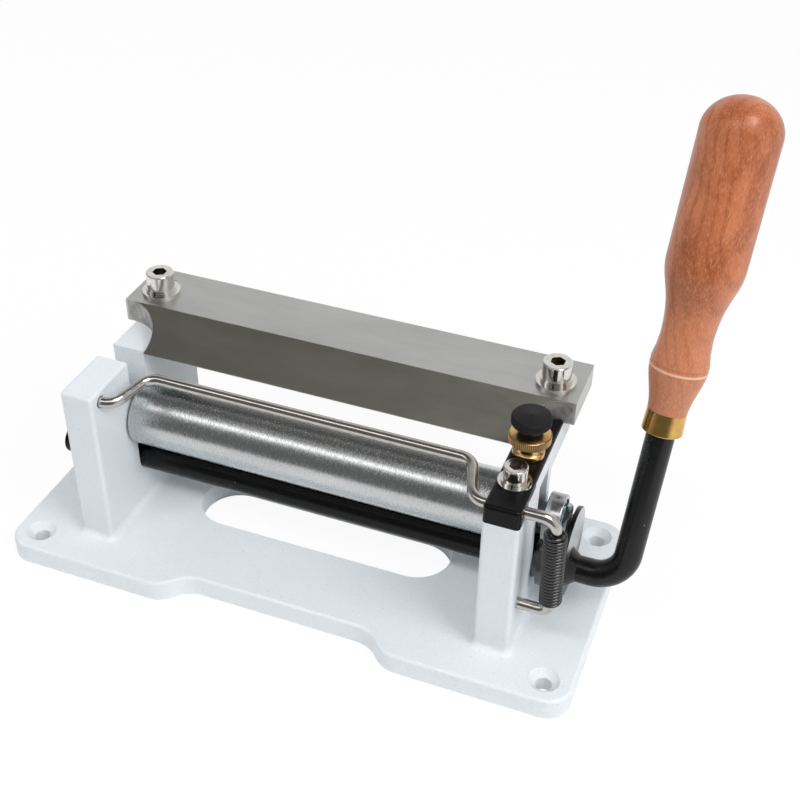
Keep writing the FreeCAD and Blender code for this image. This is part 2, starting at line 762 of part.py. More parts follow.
def lift_cam():
    cam = extrude(cam_outline(cam_start_x), X_DIR * cam_width)
    boss = rod_x(cam_boss_r, outer_x + seat_gap, cam_start_x, slot_y, shaft_z)
    cam = cam.fuse(boss).removeSplitter()
    bore = rod_x(journal_r + seat_gap, inner_x, hub_start_x, slot_y, shaft_z)
    pin = rod(cam_pin_r, cam_boss_r * 2 + cut_overrun, V(cam_pin_x(), slot_y, shaft_z - cam_boss_r), Z_DIR)
    return cam.cut([bore, pin])


def cam_pins():
    length = (cam_boss_r - seat_gap) * 2
    return Part.makeCompound([rod(cam_pin_r - seat_gap / 2, length,
                                  V(side * cam_pin_x(), slot_y, shaft_z - length / 2), Z_DIR) for side in sides])


def shaft_clip():
    """Open retaining ring in the groove at the shaft's left end."""
    start = -(cam_start_x + cam_width + seat_gap)
    ring = ring_x(clip_r, journal_r - clip_groove_depth + seat_gap, start - clip_thickness, start, slot_y, shaft_z)
    mouth = block(start - clip_thickness - cut_overrun, start + cut_overrun, slot_y - cam_pin_r, slot_y + cam_pin_r,
                  shaft_z, shaft_z + clip_r + cut_overrun)
    return ring.cut(mouth)


def lever_hub():
    """Steel disc set off from the shaft's centre, with a sleeve that fits over the journal."""
    disc = rod_x(hub_r, hub_start_x, hub_start_x + hub_thickness, slot_y + hub_offset_y, shaft_z + hub_offset_z)
    rims = [e for e in disc.Edges if e.BoundBox.XLength < seat_gap]
    disc = disc.makeFillet(hub_edge_r, rims)
    sleeve = rod_x(hub_sleeve_r, cam_start_x + cam_width + seat_gap, hub_start_x, slot_y, shaft_z)
    bore = rod_x(journal_r + seat_gap, cam_start_x, hub_start_x, slot_y, shaft_z)
    return disc.fuse(sleeve).removeSplitter().cut(bore)


def leg_frame():
    corner = V(rod_corner_x, slot_y, shaft_z)
    direction = V(math.tan(splay_out), math.tan(lean_back), 1).normalize()
    return corner, direction


def lever_rod():
    """Bent round bar with the weld bead that joins it to the hub and a tang inside the grip."""
    corner, direction = leg_frame()
    start = V(hub_start_x + hub_thickness, slot_y, shaft_z)
    end = corner + direction * (ferrule_start + ferrule_length + rod_tang_length)
    bar = tube_along(rounded_path([start, corner, end], [rod_bend_r]), rod_r, start, X_DIR)
    bead = Part.makeCone(weld_r, rod_r, weld_length, start, X_DIR)
    return bar.fuse(bead).removeSplitter()


def handle_ferrule():
    """Thin brass cup round the grip's lower end, a little wider below, with a hole for the rod in its floor."""
    origin, axis = leg_frame()
    start = ferrule_start
    end = start + ferrule_length
    inner = ferrule_top_r - ferrule_wall
    bore = rod_r + seat_gap
    cup = lathe([(start, bore), (start, ferrule_r), (end, ferrule_top_r), (end, inner),
                 (start + ferrule_wall, inner), (start + ferrule_wall, bore)], origin, axis)
    rim = [e for e in cup.Edges if e.BoundBox.XLength > 2 * ferrule_r * math.cos(splay_out) - seat_gap]
    return cup.makeFillet(ferrule_edge_r, rim)


def handle_grip():
    """Turned wooden handle: a spigot in the ferrule, a bead, a neck and a long round-ended body."""
    origin, axis = leg_frame()
    side = axis.cross(X_DIR).normalize()
    spigot_start = ferrule_start + ferrule_wall + seat_gap
    spigot_end = ferrule_start + ferrule_length + seat_gap
    tang_end = ferrule_start + ferrule_length + rod_tang_length + seat_gap
    spigot_r = ferrule_top_r - ferrule_wall - seat_gap
    bore = rod_r + seat_gap

    def at(along, radius):
        return origin + axis * along + side * radius

    def outline_point(shares):
        return at(spigot_end + grip_length * shares[0], grip_body_r * shares[1])

    flare_points = [outline_point(s) for s in grip_flare_shares]
    crease = outline_point(grip_crease_share)
    waist_points = [outline_point(s) for s in grip_waist_shares]
    dome_points = [outline_point(s) for s in grip_dome_shares]
    flare = Part.BSplineCurve()
    flare.interpolate(flare_points)
    waist = Part.BSplineCurve()
    waist.interpolate(waist_points)
    dome = Part.BSplineCurve()
    dome.interpolate(dome_points)
    edges = [line(at(spigot_start, bore), at(spigot_start, spigot_r)),
             line(at(spigot_start, spigot_r), at(spigot_end, spigot_r)),
             line(at(spigot_end, spigot_r), flare_points[0]),
             flare.toShape(),
             line(flare_points[-1], crease),
             line(crease, waist_points[0]),
             waist.toShape(),
             line(waist_points[-1], dome_points[0]),
             dome.toShape(),
             line(dome_points[-1], at(tang_end, 0)),
             line(at(tang_end, 0), at(tang_end, bore)),
             line(at(tang_end, bore), at(spigot_start, bore))]
    return Part.Face(Part.Wire(edges)).revolve(origin, axis, 360)


# Adjusting screw

def knurled(radius, depth, x, y, z0, z1):
    """Straight-knurled ring: a many-toothed outline pushed up."""
    points = []
    for k in range(2 * knurl_count):
        r = radius if k % 2 == 0 else radius - depth
        turn = math.pi * k / knurl_count
        points.append(V(x + r * math.cos(turn), y + r * math.sin(turn), z0))
    return extrude(polygon(points), Z_DIR * (z1 - z0))


def adjusting_screw():
    top = plate_top_z + lock_nut_height() + knob_lift
    return rod_z(adjust_r, post_x, slot_y, adjust_tip_z, top)


def adjusting_knob():
    z0 = plate_top_z + lock_nut_height() + knob_lift + seat_gap
    z1 = z0 + knob_height
    side = V(post_x, slot_y, 0)
    profile = polygon([side + Z_DIR * z0, side + V(knob_r - knob_edge_r, 0, z0), side + V(knob_r, 0, z0 + knob_edge_r),
                       side + V(knob_r, 0, z1 - knob_edge_r), side + V(knob_r - knob_edge_r, 0, z1),
                       side + Z_DIR * (z1 + knob_cone_height)])
    return Part.Face(profile).revolve(side, Z_DIR, 360)


def lock_nut_height():
    return nut_flange_height + nut_neck_height + nut_ring_height


def lock_nut():
    """Brass nut: a smooth foot, a neck, a knurled ring and a low cone on top."""
    z1 = plate_top_z + nut_flange_height
    z2 = z1 + nut_neck_height
    z3 = z2 + nut_ring_height
    foot = rod_z(nut_flange_r, post_x, slot_y, plate_top_z, z1)
    neck = rod_z(nut_neck_r, post_x, slot_y, z1, z2)
    ring = knurled(nut_ring_r, nut_knurl_depth, post_x, slot_y, z2, z3)
    cone = Part.makeCone(nut_ring_r - nut_knurl_depth - seat_gap, nut_cone_r, nut_cone_height, V(post_x, slot_y, z3),
                         Z_DIR)
    body = foot.fuse([neck, ring, cone]).removeSplitter()
    top = z3 + nut_cone_height + cut_overrun
    return body.cut(rod_z(adjust_r + thread_gap, post_x, slot_y, plate_top_z - cut_overrun, top))


# Wire guard, its spring and the anchor pin

def guard_wire():
    tail = V(-inner_x - guard_tail_depth, guard_pivot_y, guard_pivot_z)
    foot_x = inner_x - guard_foot_inset
    span_x = inner_x - guard_span_inset
    points = [tail,
              V(-foot_x, guard_pivot_y, guard_pivot_z),
              V(-span_x, guard_span_y, guard_span_z),
              V(span_x, guard_span_y, guard_span_z),
              V(foot_x, guard_pivot_y, guard_pivot_z),
              V(stub_x, guard_pivot_y, guard_pivot_z),
              V(stub_x, guard_pivot_y, guard_pivot_z - wire_exit_bend_r - stub_length)]
    radii = [guard_bend_r] * 4 + [wire_exit_bend_r]
    return tube_along(rounded_path(points, radii), wire_r, tail, X_DIR)


def anchor_pin():
    tail = V(outer_x - anchor_depth, anchor_y, anchor_z)
    points = [tail, V(anchor_x, anchor_y, anchor_z), V(anchor_x, anchor_y, anchor_z + wire_bend_r + stub_length)]
    return tube_along(rounded_path(points, [wire_bend_r]), wire_r, tail, X_DIR)


def coil_radius(turn):
    """Radius of the coil's centre line and its rate: the end turns draw in to grip the wire."""
    taper = 2 * math.pi * spring_taper_turns
    from_end = min(turn, 2 * math.pi * spring_turns - turn)
    if from_end >= taper:
        return spring_coil_r, 0
    depth = spring_coil_r - spring_grip_r
    sign = 1 if turn == from_end else -1
    phase = math.pi * from_end / taper
    return spring_grip_r + depth * (1 - math.cos(phase)) / 2, sign * depth * math.sin(phase) * math.pi / taper / 2


def coil_axis():
    """Lower and upper end of the coil's centre line: it leans from the pin to the guard wire's end."""
    low = V(anchor_x, anchor_y, spring_base_z + spring_wire_r)
    high = V(stub_x, guard_pivot_y, spring_top_z - spring_wire_r)
    return low, high


def coil_state(turn):
    """Point and direction of the coil's centre line after the given turn."""
    low, high = coil_axis()
    rise = (high - low) * (1 / (2 * math.pi * spring_turns))
    r, rate = coil_radius(turn)
    point = low + rise * turn + V(r * math.cos(turn), r * math.sin(turn), 0)
    direction = rise + V(rate * math.cos(turn) - r * math.sin(turn), rate * math.sin(turn) + r * math.cos(turn), 0)
    return point, direction.normalize()


def tangent_arc(start, corner, end):
    """Arc from start to end whose end tangents meet at corner."""
    middle = (start + end) * 0.5
    rise = (corner - middle).Length
    half_chord = (end - start).Length / 2
    sag = half_chord * math.tan(math.atan2(rise, half_chord) / 2)
    return arc(start, middle + (corner - middle).normalize() * sag, end)


def coil_path():
    edges = []
    for k in range(4 * spring_turns):
        p0, t0 = coil_state(math.pi * k / 2)
        p1, t1 = coil_state(math.pi * (k + 1) / 2)
        chord = p1 - p0
        along = chord.dot(t0 + t1)
        spread = 2 * (1 - t0.dot(t1))
        reach = (math.sqrt(along ** 2 + spread * chord.dot(chord)) - along) / spread
        q0 = p0 + t0 * reach
        q1 = p1 - t1 * reach
        joint = (q0 + q1) * 0.5
        edges.append(tangent_arc(p0, q0, joint))
        edges.append(tangent_arc(joint, q1, p1))
    return Part.Wire(edges)


def coil_gap():
    """Least gap between one turn and the next, measured on points of the centre line."""
    per_turn = 36
    samples = [coil_state(2 * math.pi * k / per_turn)[0] for k in range(per_turn * spring_turns + 1)]
    half_turn = per_turn // 2
    least = min((a - b).Length for i, a in enumerate(samples)
                for b in samples[i + half_turn:i + 3 * half_turn])
    return least - 2 * spring_wire_r


def guard_spring():
    print("spring gap between turns", round(coil_gap(), 3))
    start, direction = coil_state(0)
    return tube_along(coil_path(), spring_wire_r, start, direction)


def main():
    os.makedirs("parts", exist_ok=True)
    screws, lock_washers, washers = blade_fasteners()
    plate_washer_top = plate_top_z + m6_washer_thickness
    plate_screw_seat = plate_washer_top + m6_lock_washer_thickness
    bearing_start, bearing_end = roller_bearing_span()
    cam = lift_cam()
    bearing = shaft_bearing()
    carrier = axle_block()
    follower = outer_ring(follower_start_x, bearing_end_x)
    nodes = {
        "base_casting": base_casting(),
        "adjuster_plate": adjuster_plate(),
        "plate_screw": cap_screw(m6_r, m6_head_r, m6_head_height, m6_socket, m6_socket_depth, post_x, plate_screw_y,
                                 plate_screw_seat, seat_z - m6_depth),
        "plate_screw_washer": ring_z(m6_washer_r, m6_r + clearance_hole_gap, post_x, plate_screw_y, plate_top_z,
                                     plate_washer_top),
        "plate_lock_washer": split_washer(m6_lock_washer_r, m6_r, m6_lock_washer_thickness, post_x, plate_screw_y,
                                          plate_washer_top),
        "blade_screws": screws,
        "blade_lock_washers": lock_washers,
        "blade_flat_washers": washers,
        "side_screw": side_screw(),
        "spring_anchor_pin": anchor_pin(),
        "guard_spring": guard_spring(),
        "left_shaft_bearing": mirror_x(bearing),
        "right_shaft_bearing": bearing,
        "splitting_blade": splitting_blade(),
        "left_axle_block": mirror_x(carrier),
        "right_axle_block": carrier,
        "roller_axle": roller_axle(),
        "axle_spacers": both_sides(axle_spacer()),
        "axle_nuts": both_sides(axle_nut()),
        "follower_inner_rings": both_sides(inner_ring(follower_start_x, bearing_end_x)),
        "roller_inner_rings": both_sides(inner_ring(bearing_start, bearing_end)),
        "left_cam_follower": mirror_x(follower),
        "right_cam_follower": follower,
        "feed_roller": feed_roller(),
        "roller_outer_rings": both_sides(outer_ring(bearing_start, bearing_end)),
        "cam_shaft": cam_shaft(),
        "left_lift_cam": mirror_x(cam),
        "right_lift_cam": cam,
        "cam_pins": cam_pins(),
        "shaft_clip": shaft_clip(),
        "lever_hub": lever_hub(),
        "lever_rod": lever_rod(),
        "handle_ferrule": handle_ferrule(),
        "handle_grip": handle_grip(),
        "adjusting_screw": adjusting_screw(),
        "adjusting_knob": adjusting_knob(),
        "lock_nut": lock_nut(),
        "guard_wire": guard_wire(),
    }
    for name, shape in nodes.items():
        shape.exportStep("parts/" + name + ".step")
        print(name, shape.isValid(), len(shape.Solids), round(shape.Volume, 1))


main()
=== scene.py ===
import math
import bpy
import numpy as np
from mathutils import Matrix, Vector


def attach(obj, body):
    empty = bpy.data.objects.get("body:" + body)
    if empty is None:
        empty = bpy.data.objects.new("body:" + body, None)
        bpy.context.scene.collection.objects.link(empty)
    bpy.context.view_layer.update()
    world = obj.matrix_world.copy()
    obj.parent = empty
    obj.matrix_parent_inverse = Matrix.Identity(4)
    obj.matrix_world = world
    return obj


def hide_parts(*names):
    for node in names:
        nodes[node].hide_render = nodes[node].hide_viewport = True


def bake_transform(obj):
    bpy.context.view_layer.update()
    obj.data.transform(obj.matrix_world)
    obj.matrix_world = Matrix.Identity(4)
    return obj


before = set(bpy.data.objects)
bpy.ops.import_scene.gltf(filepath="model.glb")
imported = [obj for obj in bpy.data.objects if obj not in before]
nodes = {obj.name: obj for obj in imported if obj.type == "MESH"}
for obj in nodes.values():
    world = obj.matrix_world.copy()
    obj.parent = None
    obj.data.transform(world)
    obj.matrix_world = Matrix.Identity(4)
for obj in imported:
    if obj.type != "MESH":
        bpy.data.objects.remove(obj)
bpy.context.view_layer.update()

# The photograph's camera
# A short tele lens in front of the machine, a little to the right of its middle and well above it.
# Its place and turn were solved from the machine's own corners in the picture.
camera_place = Vector((0.1855, -0.4033, 0.4242))
camera_right = Vector((0.935009, 0.354230, 0.017390))
camera_up = Vector((-0.226339, 0.558236, 0.798233))
focal_pixels = 1270.2
picture_pixels = 800
camera_data = bpy.data.cameras.new("photo_camera")
camera_data.sensor_width = 36.0
camera_data.lens = focal_pixels / picture_pixels * camera_data.sensor_width
camera_data.clip_start = 0.01
camera_data.clip_end = 50.0
camera = bpy.data.objects.new("photo_camera", camera_data)
bpy.context.scene.collection.objects.link(camera)
camera_back = camera_right.cross(camera_up)
turn = Matrix((camera_right, camera_up, camera_back)).transposed()
camera.matrix_world = Matrix.Translation(camera_place) @ turn.to_4x4()
bpy.context.scene.camera = camera

# The white table and the light tent
# A white sheet that ends a little before the machine, in a tent that metal shows as bands: white behind,
# dark with a bright strip overhead, dark in front. Looked at directly it is white all round. Three soft lamps
# light the machine, and a small one high on the right shows only as a glint on edges, varnish and metal.


def surface_mesh(name, points, closed=False, smooth=True):
    """Mesh of quads over a grid of points; closed joins each row's last point to its first."""
    rows, columns = points.shape[:2]
    index = np.arange(rows * columns).reshape(rows, columns)
    grid = np.concatenate([index, index[:, :1]], axis=1) if closed else index
    quads = np.stack([grid[:-1, :-1], grid[1:, :-1], grid[1:, 1:], grid[:-1, 1:]], axis=-1).reshape(-1, 4)
    mesh = bpy.data.meshes.new(name)
    mesh.from_pydata(points.reshape(-1, 3).tolist(), [], quads.tolist())
    mesh.update()
    mesh.polygons.foreach_set("use_smooth", np.full(len(mesh.polygons), smooth))
    return mesh


def place(name, mesh, material):
    """Object at the origin that shows the mesh in one material."""
    piece = bpy.data.objects.new(name, mesh)
    bpy.context.scene.collection.objects.link(piece)
    mesh.materials.append(material)
    return piece


def node(tree, kind, inputs=None, **settings):
    """Adds a shader node: settings are its properties, inputs are values or other nodes' outputs."""
    made = tree.nodes.new(kind)
    for key, value in settings.items():
        setattr(made, key, value)
    for key, value in (inputs or {}).items():
        if isinstance(value, bpy.types.NodeSocket):
            tree.links.new(value, made.inputs[key])
        else:
            made.inputs[key].default_value = value
    return made


def math_node(tree, operation, a, b=0.0, c=0.0):
    """One arithmetic step on up to three values; its result is the returned output."""
    return node(tree, "ShaderNodeMath", {0: a, 1: b, 2: c}, operation=operation).outputs[0]


def distance(tree, first, second, centre):
    """Distance of two coordinates from a centre: the root of the sum of both offsets' squares."""
    offsets = [math_node(tree, "SUBTRACT", value, middle) for value, middle in zip((first, second), centre)]
    squares = [math_node(tree, "MULTIPLY", offset, offset) for offset in offsets]
    return math_node(tree, "SQRT", math_node(tree, "ADD", *squares))


def ramp(tree, value, span=(0.0, 1.0), to=(0.0, 1.0)):
    """Straight ramp that takes the span's ends to the other pair's ends, and is level outside the span."""
    return node(tree, "ShaderNodeMapRange", {"Value": value, "From Min": span[0], "From Max": span[1],
                                             "To Min": to[0], "To Max": to[1]}).outputs[0]


def blend_colour(tree, factor, first, second):
    """Mix of two colours by a mask."""
    mix = node(tree, "ShaderNodeMix", {"Factor": factor}, data_type="RGBA")
    for socket, value in ((mix.inputs[6], first), (mix.inputs[7], second)):
        if isinstance(value, bpy.types.NodeSocket):
            tree.links.new(value, socket)
        else:
            socket.default_value = (*value, 1)
    return mix.outputs[2]


sheet_white = (0.9, 0.9, 0.9, 1)
sheet_glow = 0.93
sheet_half, sheet_front = 6.0, -0.34


def sheet_material():
    """White paper that keeps a faint part of the machine's shadow, and is otherwise background white."""
    material = bpy.data.materials.new("white_sheet")
    material.use_nodes = True
    tree = material.node_tree
    tree.nodes.clear()
    path = node(tree, "ShaderNodeLightPath")
    seen = math_node(tree, "MAXIMUM", path.outputs["Is Camera Ray"], path.outputs["Is Glossy Ray"])
    seen = math_node(tree, "MAXIMUM", seen, path.outputs["Is Transmission Ray"])
    paper = node(tree, "ShaderNodeBsdfDiffuse", {"Color": sheet_white})
    glow = node(tree, "ShaderNodeEmission", {"Color": (1, 1, 1, 1), "Strength": 1.0})
    share = math_node(tree, "MULTIPLY", seen, sheet_glow)
    mixed = node(tree, "ShaderNodeMixShader", {0: share, 1: paper.outputs[0], 2: glow.outputs[0]})
    node(tree, "ShaderNodeOutputMaterial", {"Surface": mixed.outputs[0]})
    return material


sheet_grid = np.array([[[-sheet_half, sheet_front, 0.0], [-sheet_half, sheet_half, 0.0]],
                       [[sheet_half, sheet_front, 0.0], [sheet_half, sheet_half, 0.0]]])
table_sheet = place("table_sheet", surface_mesh("table_sheet", sheet_grid, smooth=False), sheet_material())

# Brightness of the tent by the share of the half turn from the back, over the top, to the front
tent_levels = ((0.0, 1.0), (0.17, 0.92), (0.29, 0.68), (0.35, 0.26), (0.42, 0.12), (0.60, 0.12), (0.64, 1.6),
               (0.665, 3.2), (0.69, 1.6), (0.72, 0.55), (0.77, 0.15), (1.0, 0.16))
tent_right, tent_right_span = (0.80, 0.80, 0.81), (0.55, 0.85)
tent_left, tent_left_span = (0.30, 0.30, 0.31), (-0.60, -0.90)
glint_direction, glint_span, glint_level = (0.402, -0.151, 0.903), (0.960, 0.985), (11.0, 11.0, 11.0)
background_white = (1.0, 1.0, 1.0)

world = bpy.data.worlds.new("light_tent")
world.use_nodes = True
tent = world.node_tree
tent.nodes.clear()
direction = node(tent, "ShaderNodeTexCoord").outputs["Generated"]
part_of = node(tent, "ShaderNodeSeparateXYZ", {0: direction}).outputs
above = math_node(tent, "MAXIMUM", part_of[2], 0.0)
roll = math_node(tent, "ARCTAN2", above, part_of[1])
roll_share = ramp(tent, roll, (0.0, math.pi))
height = node(tent, "ShaderNodeValToRGB", {0: roll_share})
stops = height.color_ramp.elements
for stop, (share, level) in zip(list(stops), (tent_levels[0], tent_levels[-1])):
    stop.position, stop.color = share, (level, level, level, 1)
for share, level in tent_levels[1:-1]:
    stops.new(share).color = (level, level, level, 1)
to_right = ramp(tent, part_of[0], tent_right_span)
to_left = ramp(tent, part_of[0], tent_left_span)
tent_side = blend_colour(tent, to_right, height.outputs[0], tent_right)
tent_mix = blend_colour(tent, to_left, tent_side, tent_left)
path = node(tent, "ShaderNodeLightPath").outputs
towards_glint = node(tent, "ShaderNodeVectorMath", {0: direction, 1: glint_direction},
                     operation="DOT_PRODUCT").outputs["Value"]
glint = ramp(tent, towards_glint, glint_span)
glint_seen = math_node(tent, "MULTIPLY", glint, path["Is Glossy Ray"])
tent_glint = blend_colour(tent, glint_seen, tent_mix, glint_level)
direct = math_node(tent, "MAXIMUM", path["Is Camera Ray"], path["Is Transmission Ray"])
tent_shown = blend_colour(tent, direct, tent_glint, background_white)
tent_colour = node(tent, "ShaderNodeBackground", {"Color": tent_shown, "Strength": 1.0})
node(tent, "ShaderNodeOutputWorld", {"Surface": tent_colour.outputs[0]})
bpy.context.scene.world = world


def soft_lamp(name, place_at, size, power, look_at=(0.0, 0.0, 0.05)):
    """A flat lamp that faces the machine and doesn't show in its gloss."""
    data = bpy.data.lights.new(name, "AREA")
    data.shape = "RECTANGLE"
    data.size, data.size_y = size
    data.energy = power
    lamp = bpy.data.objects.new(name, data)
    lamp.visible_glossy = False
    aim = (Vector(look_at) - Vector(place_at)).to_track_quat("-Z", "Y")
    lamp.matrix_world = Matrix.Translation(place_at) @ aim.to_matrix().to_4x4()
    bpy.context.scene.collection.objects.link(lamp)


soft_lamp("front_lamp", place_at=(-0.17, -0.75, 1.25), size=(0.9, 0.28), power=6.5)
soft_lamp("left_lamp", place_at=(-1.3, -0.2, 0.8), size=(0.7, 0.7), power=3.0)
soft_lamp("right_lamp", place_at=(1.0, -0.35, 1.0), size=(0.7, 0.7), power=10.0)
bpy.context.scene.view_settings.view_transform = "Standard"

# The cast base and its uprights
# One iron casting, ground on the underside and on the blade's seats, then powder coated in a pale
# blue-grey white with a fine orange-peel skin. It is screwed to the bench through four holes.


def finish(name, colour, metallic, roughness, **sockets):
    """Material with one Principled shader; sockets are set by their names with underscores."""
    material = bpy.data.materials.new(name)
    material.use_nodes = True
    shader = material.node_tree.nodes["Principled BSDF"]
    shader.inputs["Base Color"].default_value = (*colour, 1)
    shader.inputs["Metallic"].default_value = metallic
    shader.inputs["Roughness"].default_value = roughness
    for key, value in sockets.items():
        shader.inputs[key.replace("_", " ")].default_value = value
    return material, material.node_tree, shader


def place_coords(tree):
    """Object coordinates in metres."""
    return node(tree, "ShaderNodeTexCoord").outputs["Object"]


def effect_group(name, inputs, outputs):
    """Empty node group with named sockets; returns the tree, its input node and its output node."""
    group = bpy.data.node_groups.new(name, "ShaderNodeTree")
    for kind, title, value in inputs:
        socket = group.interface.new_socket(title, in_out="INPUT", socket_type=kind)
        if value is not None:
            socket.default_value = value
    for kind, title in outputs:
        group.interface.new_socket(title, in_out="OUTPUT", socket_type=kind)
    return group, node(group, "NodeGroupInput"), node(group, "NodeGroupOutput")


def mottle_group():
    """Cloudy noise at one grain size, stretched between a low and a high value."""
    group, given, out = effect_group(
        "mottle", [("NodeSocketVector", "Vector", None), ("NodeSocketVector", "Stretch", (1, 1, 1)),
                   ("NodeSocketFloat", "Scale", 100.0), ("NodeSocketFloat", "Low", 0.0),
                   ("NodeSocketFloat", "High", 1.0), ("NodeSocketFloat", "Sharp", 1.0)],
        [("NodeSocketFloat", "Value")])
    noise_middle, noise_reach = 0.5, 0.25
    stretched = node(group, "ShaderNodeVectorMath", {0: given.outputs["Vector"], 1: given.outputs["Stretch"]},
                     operation="MULTIPLY").outputs[0]
    noise = node(group, "ShaderNodeTexNoise", {"Vector": stretched, "Scale": given.outputs["Scale"],
                                               "Detail": 4.0, "Roughness": 0.6})
    centred = math_node(group, "SUBTRACT", noise.outputs[0], noise_middle)
    sharp = math_node(group, "MULTIPLY", centred, given.outputs["Sharp"])
    level = ramp(group, sharp, (-noise_reach, noise_reach), (given.outputs["Low"], given.outputs["High"]))
    group.links.new(level, out.inputs["Value"])
    return group


mottle = mottle_group()


def mottled(tree, at, scale, stretch=(1.0, 1.0, 1.0), sharp=1.0, low=0.0, high=1.0):
    """Cloudy value between low and high: scale is grains per metre, and stretch multiplies it by axis."""
    values = {"Vector": at, "Stretch": stretch, "Scale": scale, "Low": low, "High": high, "Sharp": sharp}
    return node(tree, "ShaderNodeGroup", values, node_tree=mottle).outputs[0]


def relief(tree, shader, height_value, depth, strength=1.0):
    """Bump of a given depth in metres on the shader's normal."""
    bump = node(tree, "ShaderNodeBump", {"Height": height_value, "Distance": depth, "Strength": strength})
    tree.links.new(bump.outputs[0], shader.inputs["Normal"])


def powder_coat():
    """Pale coat with a broad cloudiness, an orange-peel grain in tone and relief, and sparse dark specks."""
    cool, pale = (0.725, 0.768, 0.800), (0.755, 0.795, 0.825)
    peel_grey, peel_share = (0.62, 0.665, 0.70), 0.58
    speck_grey, speck_core, speck_edge, speck_share = (0.34, 0.36, 0.38), 0.08, 0.17, 0.10
    speck_weight, pit_weight, skin_depth = 0.5, 1.4, 0.00013
    material, tree, shader = finish("powder_coat", pale, metallic=0.0, roughness=0.42, Specular_IOR_Level=0.4)
    at = place_coords(tree)
    cloud = mottled(tree, at, scale=28.0)
    grain = mottled(tree, at, scale=1250.0, sharp=1.2)
    pits = mottled(tree, at, scale=520.0, sharp=0.9)
    base = blend_colour(tree, cloud, cool, pale)
    toned = blend_colour(tree, math_node(tree, "MULTIPLY", grain, peel_share), base, peel_grey)
    cells = node(tree, "ShaderNodeTexVoronoi", {"Vector": at, "Scale": 420.0})
    dot = ramp(tree, cells.outputs["Distance"], (speck_core, speck_edge), (speck_weight, 0.0))
    which = node(tree, "ShaderNodeSeparateColor", {0: cells.outputs["Color"]}).outputs[0]
    speck = math_node(tree, "MULTIPLY", dot, math_node(tree, "LESS_THAN", which, speck_share))
    tree.links.new(blend_colour(tree, speck, toned, speck_grey), shader.inputs["Base Color"])
    tree.links.new(ramp(tree, grain, to=(0.34, 0.52)), shader.inputs["Roughness"])
    skin = math_node(tree, "ADD", grain, math_node(tree, "MULTIPLY", pits, pit_weight))
    relief(tree, shader, skin, depth=skin_depth, strength=0.8)
    return material


def dress(material, *names):
    """Gives CAD nodes their material."""
    for name in names:
        piece = nodes[name]
        if not piece.data.materials:
            piece.data.materials.append(material)
        for slot in piece.material_slots:
            slot.material = material


dress(powder_coat(), "base_casting")

# The adjuster plate, the side screw and the shaft's bearings
# Steel pieces in gloss black: the plate is milled and lies on the right upright, the screw plugs
# a hole in the left one, and the bearings sit in the round bottoms of the slots.


def black_finish(name, colour, roughness, dust, gloss_level):
    """Near-black coat with a cloudy gloss and pale specks of dust in the given share of its cells."""
    dust_grey, dust_core, dust_edge, skin_depth = (0.42, 0.42, 0.42), 0.03, 0.075, 0.00002
    material, tree, shader = finish(name, colour, metallic=0.0, roughness=roughness,
                                    Specular_IOR_Level=gloss_level)
    at = place_coords(tree)
    gloss = mottled(tree, at, scale=160.0, low=roughness * 0.8, high=roughness * 1.35)
    tree.links.new(gloss, shader.inputs["Roughness"])
    cells = node(tree, "ShaderNodeTexVoronoi", {"Vector": at, "Scale": 230.0})
    speck = ramp(tree, cells.outputs["Distance"], (dust_core, dust_edge), (1.0, 0.0))
    which = node(tree, "ShaderNodeSeparateColor", {0: cells.outputs["Color"]}).outputs[0]
    shown = math_node(tree, "MULTIPLY", speck, math_node(tree, "LESS_THAN", which, dust))
    tree.links.new(blend_colour(tree, shown, colour, dust_grey), shader.inputs["Base Color"])
    relief(tree, shader, mottled(tree, at, scale=900.0), depth=skin_depth, strength=0.5)
    return material


black_plate = black_finish("black_plate", (0.003, 0.003, 0.003), roughness=0.27, dust=0.06, gloss_level=0.15)
dress(black_plate, "adjuster_plate", "side_screw", "left_shaft_bearing", "right_shaft_bearing")

# The blade's and the plate's screws with their washers
# Socket head cap screws, two M8 in nickel through the blade's slots on split and flat washers, and
# one M6, also in nickel, that holds the plate. The heads are cold formed, so they shine.


def plated_steel(name, colour, roughness, tint, sockets=()):
    """Bright plating: smooth, a little cloudy, with faint turning rings round the vertical axis.

    Each socket is (x, y, radius, top): painted shade darkens the metal inside that radius below that height.
    """
    # Painted shade: a dark brownish colour for the hollows of the screw sockets, deepening downwards
    shade_colour, shade_share, shade_from, shade_to = (0.10, 0.065, 0.040), 0.86, 0.0004, 0.0026
    material, tree, shader = finish(name, colour, metallic=1.0, roughness=roughness)
    at = place_coords(tree)
    cloud = mottled(tree, at, scale=300.0)
    toned = blend_colour(tree, cloud, colour, tint)
    parts = node(tree, "ShaderNodeSeparateXYZ", {0: at}).outputs
    # Paint shade into each socket, darker the deeper it goes
    for x, y, radius, top in sockets:
        from_axis = distance(tree, math_node(tree, "ABSOLUTE", parts[0]), parts[1], (x, y))
        inside = math_node(tree, "LESS_THAN", from_axis, radius)
        depth = ramp(tree, parts[2], (top - shade_from, top - shade_to), (0.0, shade_share))
        toned = blend_colour(tree, math_node(tree, "MULTIPLY", inside, depth), toned, shade_colour)
    tree.links.new(toned, shader.inputs["Base Color"])
    tree.links.new(ramp(tree, cloud, to=(roughness * 0.7, roughness * 1.5)), shader.inputs["Roughness"])
    rings = mottled(tree, at, scale=5000.0, stretch=(0.02, 0.02, 1.0))
    relief(tree, shader, rings, depth=0.000006, strength=0.5)
    return material


# Socket axes, radii and tops, inside which painted shade darkens the hex sockets
blade_screw_socket = (0.096625, 0.038, 0.0036, 0.1112)
plate_screw_socket = (0.096625, -0.022, 0.0030, 0.0995)
nickel = plated_steel("nickel_plating", (0.80, 0.785, 0.75), roughness=0.12, tint=(0.64, 0.62, 0.585),
                      sockets=(blade_screw_socket, plate_screw_socket))
dress(nickel, "blade_screws", "blade_lock_washers", "blade_flat_washers", "plate_screw", "plate_screw_washer",
      "plate_lock_washer")

